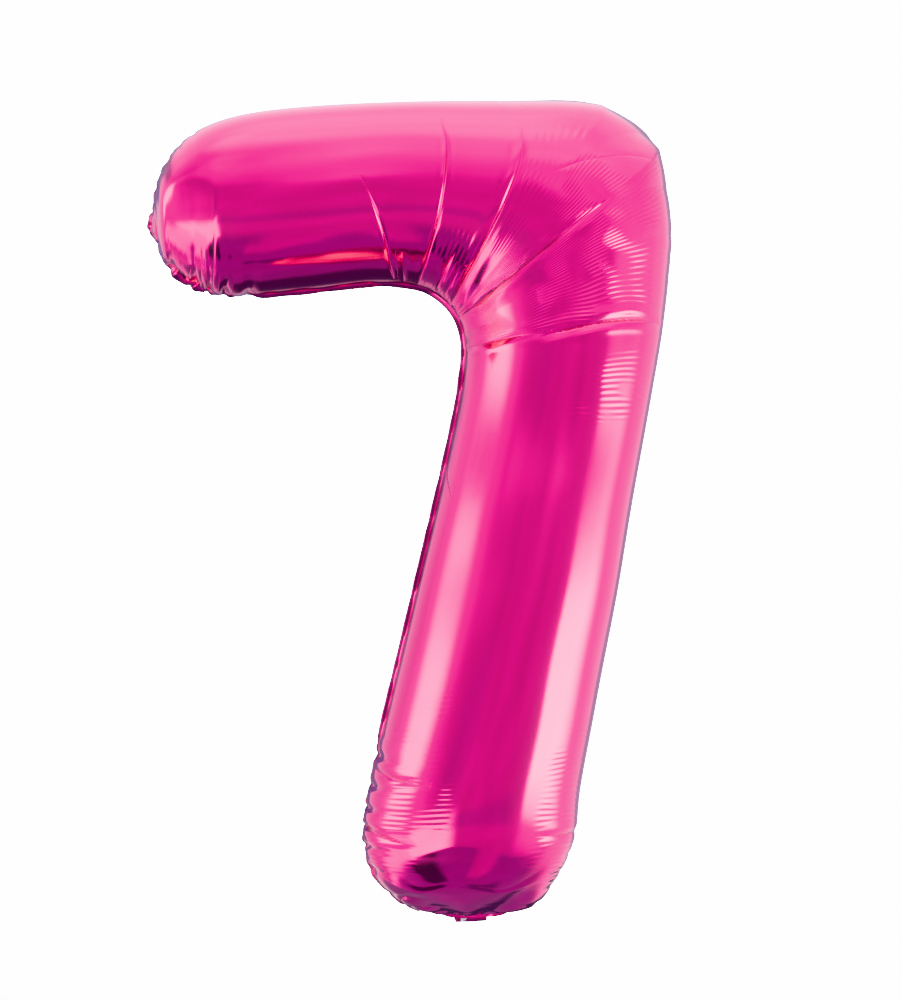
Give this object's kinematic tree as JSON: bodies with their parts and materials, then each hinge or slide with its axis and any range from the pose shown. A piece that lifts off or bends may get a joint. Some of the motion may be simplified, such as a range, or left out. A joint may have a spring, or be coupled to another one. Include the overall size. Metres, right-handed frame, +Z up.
{
  "type": "foil number balloon",
  "caption": "Inflated metallic foil balloon shaped as a figure seven, with a folded inflation tail and a clear self-sealing valve.",
  "frame": {"origin": "middle of the tail's fold line under the foot of the figure, where a ribbon is tied", "axes": "+Z up the figure, +X to the right as the figure is read, so that the front foil faces -Y and the two foils meet at Y = 0"},
  "size_m": [0.5227, 0.2108, 0.8131],
  "materials": {
    "foil": "mirror-bright magenta metallised film",
    "valve_film": "clear plastic film"
  },
  "bodies": {
    "balloon": {"front_foil": "foil", "back_foil": "foil", "valve_front_film": "valve_film", "valve_back_film": "valve_film"},
    "tail": {"tail_front_foil": "foil", "tail_back_foil": "foil", "tail_valve_front_film": "valve_film", "tail_valve_back_film": "valve_film"}
  },
  "joints": [
    {"name": "tail_fold", "type": "hinge", "parent": "balloon", "child": "tail", "pos_m": [0, 0, 0], "axis": [-1, 0, 0], "range_deg": [0, 210]}
  ]
}
